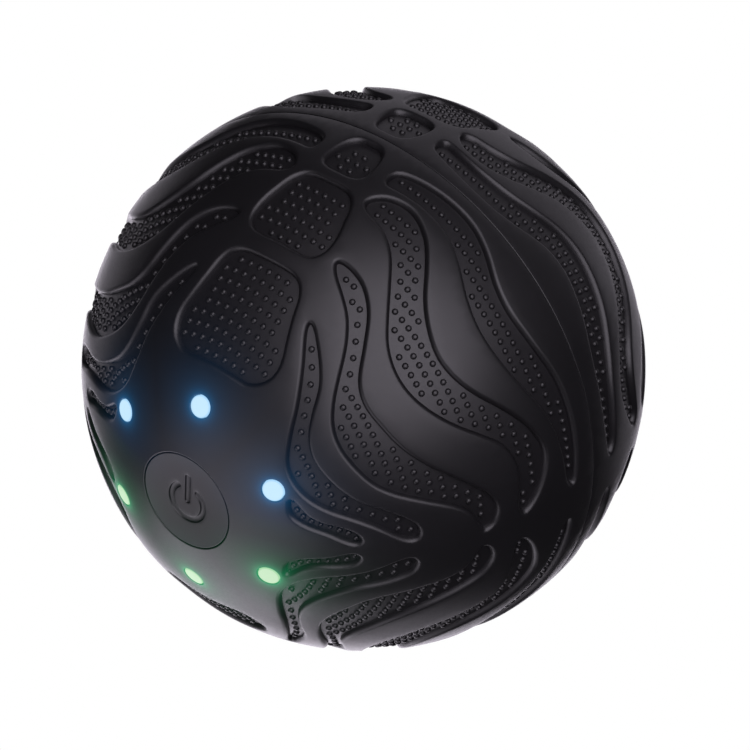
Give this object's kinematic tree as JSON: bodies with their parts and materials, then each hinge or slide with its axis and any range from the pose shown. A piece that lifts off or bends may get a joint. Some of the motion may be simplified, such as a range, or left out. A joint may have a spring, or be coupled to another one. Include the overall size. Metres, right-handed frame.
{
  "type": "vibrating massage ball",
  "caption": "Rechargeable vibrating massage ball with a grooved and nubbed silicone skin, a round power button and a ring of indicator lights.",
  "frame": {"origin": "centre of the ball", "axes": "+Z from the centre out through the power button; the motor shaft and the two cells lie along X; the long row of nubbed patches on each side faces -Y and +Y"},
  "size_m": [0.095, 0.095, 0.0939],
  "materials": {
    "silicone_skin": "soft-touch satin silicone",
    "button_plastic": "satin moulded plastic",
    "shell_plastic": "fine spark-eroded moulding",
    "tray_plastic": "natural moulded plastic",
    "seal_rubber": "matt rubber",
    "light_lens": "frosted clear plastic, lit from below",
    "led_case": "moulded lamp case with a pale resin top",
    "circuit_board": "green solder mask over copper",
    "chip_plastic": "matt moulded plastic",
    "screw_steel": "zinc-plated steel",
    "can_steel": "drawn and plated steel",
    "weight_brass": "sawn brass",
    "winding_copper": "enamelled copper windings",
    "magnet_ferrite": "ground ferrite",
    "cell_sleeve": "shrunk plastic sleeve",
    "lead_red": "smooth wire insulation",
    "lead_black": "smooth wire insulation"
  },
  "bodies": {
    "ball": {"battery_cell_1": "cell_sleeve", "battery_cell_2": "cell_sleeve", "battery_lead_black": "lead_black", "battery_lead_red": "lead_red", "battery_strap": "lead_black", "board_screw_1": "screw_steel", "board_screw_2": "screw_steel", "board_screw_3": "screw_steel", "case_screw_1": "screw_steel", "case_screw_2": "screw_steel", "case_screw_3": "screw_steel", "case_screw_4": "screw_steel", "cell_link_tab": "screw_steel", "charge_board": "circuit_board", "charge_board_screw_1": "screw_steel", "charge_board_screw_2": "screw_steel", "charge_lead": "lead_red", "charge_socket_shell": "can_steel", "charge_socket_tongue": "chip_plastic", "clamp_screw_1": "screw_steel", "clamp_screw_2": "screw_steel", "control_board": "circuit_board", "controller_chip": "chip_plastic", "led_1": "led_case", "led_2": "led_case", "led_3": "led_case", "led_4": "led_case", "led_5": "led_case", "led_6": "led_case", "light_pipe_1": "light_lens", "light_pipe_2": "light_lens", "light_pipe_3": "light_lens", "light_pipe_4": "light_lens", "light_pipe_5": "light_lens", "light_pipe_6": "light_lens", "magnet_left": "magnet_ferrite", "magnet_right": "magnet_ferrite", "motor_can": "can_steel", "motor_clamp": "tray_plastic", "motor_end_cap": "chip_plastic", "motor_lead_black": "lead_black", "motor_lead_red": "lead_red", "motor_tray": "tray_plastic", "seal_ring": "seal_rubber", "shell_lower": "shell_plastic", "shell_upper": "shell_plastic", "skin_lower": "silicone_skin", "skin_upper": "silicone_skin", "switch_body": "chip_plastic"},
    "button": {"power_button": "button_plastic", "button_retaining_ring": "screw_steel"},
    "switch_key": {"switch_plunger": "chip_plastic"},
    "rotor": {"motor_shaft": "can_steel", "armature": "winding_copper", "eccentric_weight_left": "weight_brass", "eccentric_weight_right": "weight_brass"}
  },
  "joints": [
    {"name": "button_press", "type": "slide", "parent": "ball", "child": "button", "axis": [0, 0, -1], "range_m": [0, 0.0006], "stiffness_N_per_m": 3000},
    {"name": "switch_press", "type": "slide", "parent": "ball", "child": "switch_key", "axis": [0, 0, -1], "range_m": [0, 0.0006]},
    {"name": "motor_spin", "type": "hinge", "parent": "ball", "child": "rotor", "pos_m": [0, 0, 0.009], "axis": [1, 0, 0], "continuous": true}
  ],
  "couplings": [
    {"joint": "switch_press", "follows": "button_press", "ratio": 1}
  ]
}
